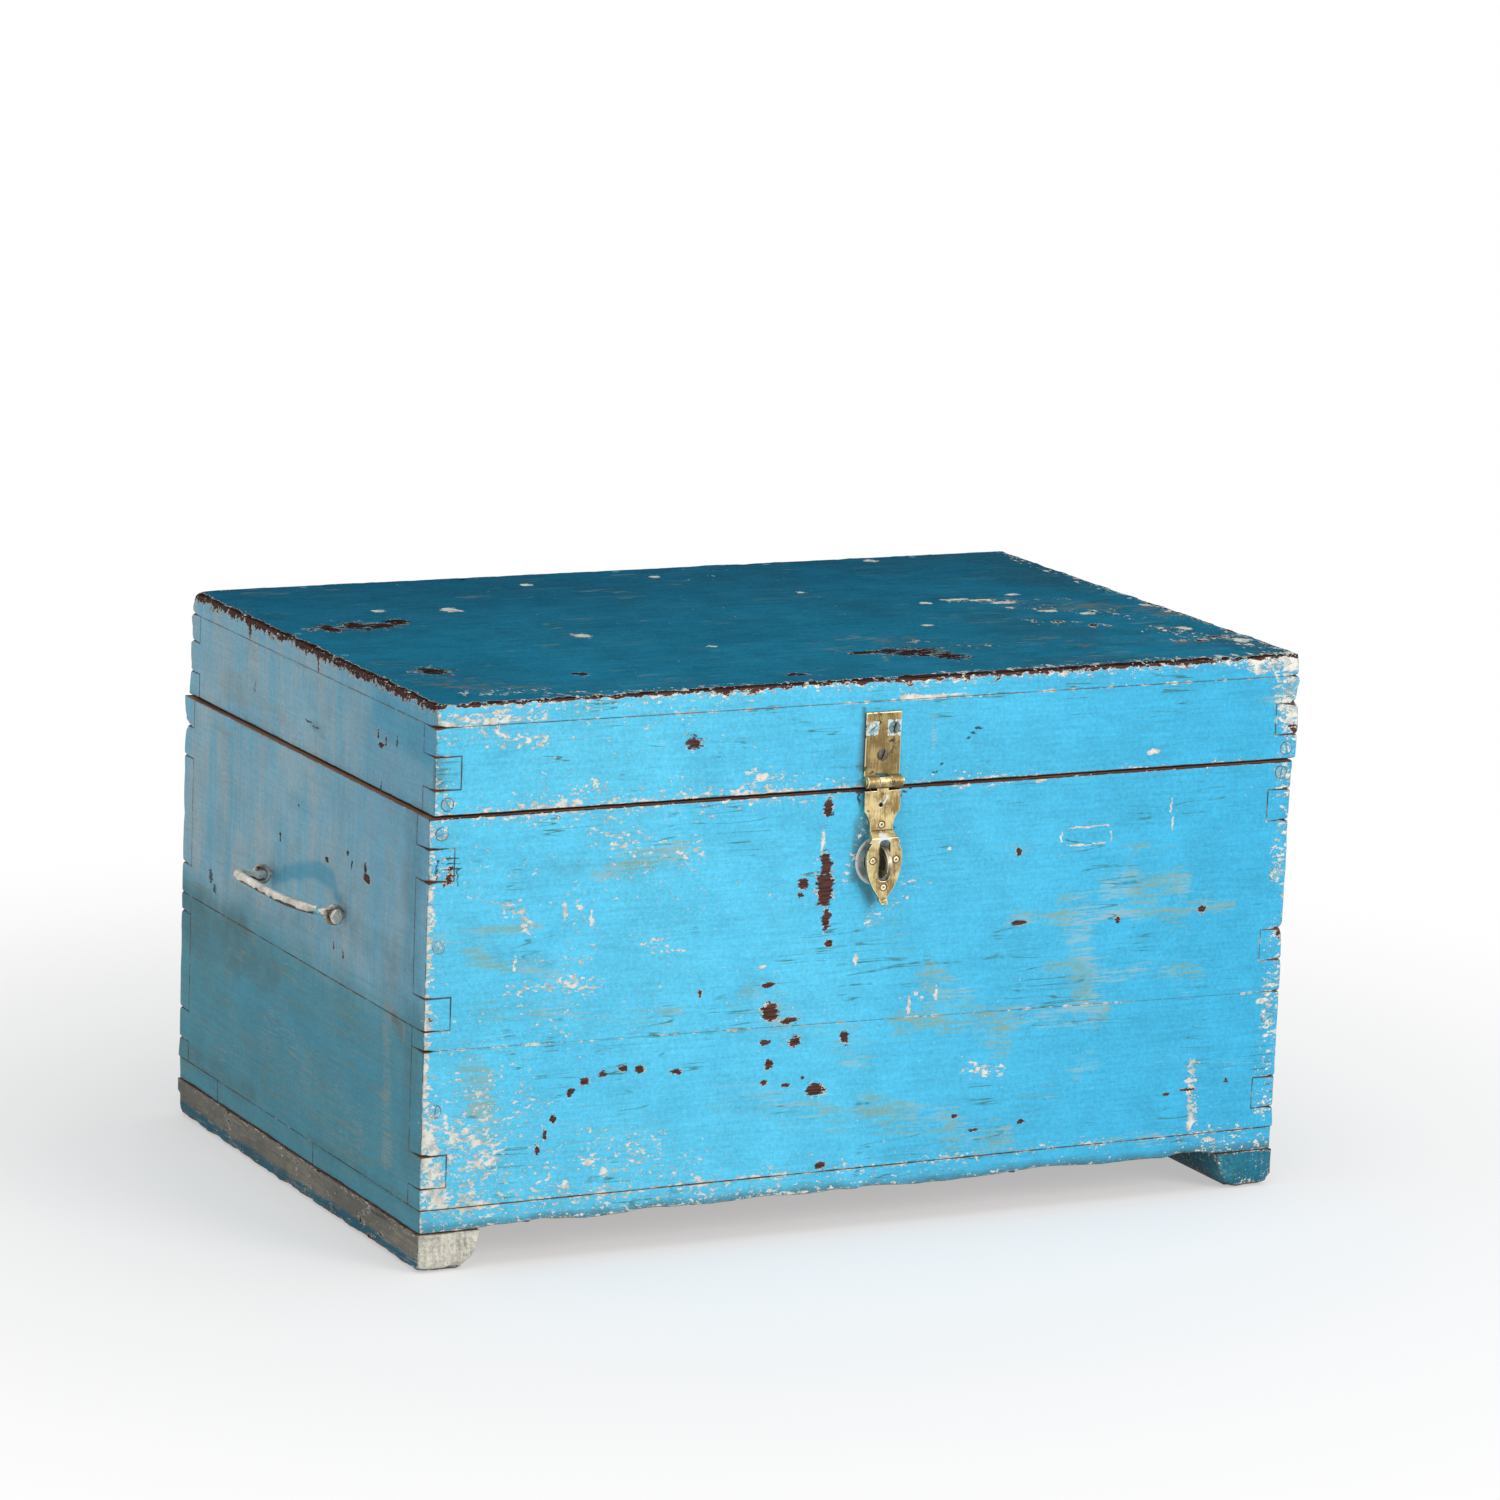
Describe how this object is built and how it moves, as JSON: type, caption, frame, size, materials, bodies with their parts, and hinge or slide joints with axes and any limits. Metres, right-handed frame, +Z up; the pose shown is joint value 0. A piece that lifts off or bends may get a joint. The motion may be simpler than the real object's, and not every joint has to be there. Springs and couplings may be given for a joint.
{
  "type": "trunk",
  "caption": "Painted board trunk with a shallow hinged lid, a brass hasp over a staple, an iron drop handle at each end and two runners.",
  "frame": {"origin": "on the floor, under the middle of the whole object's box, the staple and hinge barrels included", "axes": "+Z up; +X to the right as seen from the front, along the trunk's long side; the front with the hasp faces -Y"},
  "size_m": [0.8846, 0.5584, 0.4657],
  "materials": {
    "front_paint": "worn sky blue paint on old softwood boards",
    "end_paint": "faded grey-blue paint on old softwood boards",
    "top_paint": "dark teal paint, scuffed",
    "runner_wood": "weathered, with little paint left",
    "brass": "aged, polished on the raised places",
    "iron": "forged and worn bright, with remains of paint",
    "steel": "dull old steel"
  },
  "bodies": {
    "chest": {"front_board_upper": "front_paint", "front_board_lower": "front_paint", "back_board_upper": "end_paint", "back_board_lower": "end_paint", "left_end_upper": "end_paint", "left_end_lower": "end_paint", "right_end_upper": "end_paint", "right_end_lower": "end_paint", "bottom_board_front": "front_paint", "bottom_board_middle": "front_paint", "bottom_board_rear": "front_paint", "left_runner": "runner_wood", "right_runner": "runner_wood", "body_corner_screws": "steel", "bottom_nails": "steel", "runner_screws": "steel", "staple_plate": "iron", "staple": "iron", "left_handle_eyes": "iron", "right_handle_eyes": "iron", "left_handle_washers": "iron", "right_handle_washers": "iron", "hinge_lower_leaves": "steel", "hinge_pins": "steel", "hinge_lower_screws": "steel"},
    "lid": {"hinge_upper_leaves": "steel", "hinge_upper_screws": "steel", "lid_top": "top_paint", "lid_front_rail": "front_paint", "lid_back_rail": "end_paint", "lid_left_rail": "end_paint", "lid_right_rail": "end_paint", "lid_corner_screws": "steel", "lid_nails": "steel", "hasp_leaf": "brass", "hasp_pin": "brass", "hasp_screws": "steel"},
    "hasp": {"hasp_strap": "brass"},
    "left_handle": {"left_bail": "iron"},
    "right_handle": {"right_bail": "iron"}
  },
  "joints": [
    {"name": "lid_hinge", "type": "hinge", "parent": "chest", "child": "lid", "pos_m": [0, 0.27425, 0.3746], "axis": [-1, 0, 0], "range_deg": [0, 180]},
    {"name": "hasp_swing", "type": "hinge", "parent": "lid", "child": "hasp", "pos_m": [0.0035, -0.26175, 0.3807], "axis": [-1, 0, 0], "range_deg": [0, 170]},
    {"name": "left_handle_swing", "type": "hinge", "parent": "chest", "child": "left_handle", "pos_m": [-0.4091, -0.01275, 0.26], "axis": [0, 1, 0], "range_deg": [-110, 88]},
    {"name": "right_handle_swing", "type": "hinge", "parent": "chest", "child": "right_handle", "pos_m": [0.4091, -0.01275, 0.26], "axis": [0, -1, 0], "range_deg": [-110, 88]}
  ]
}
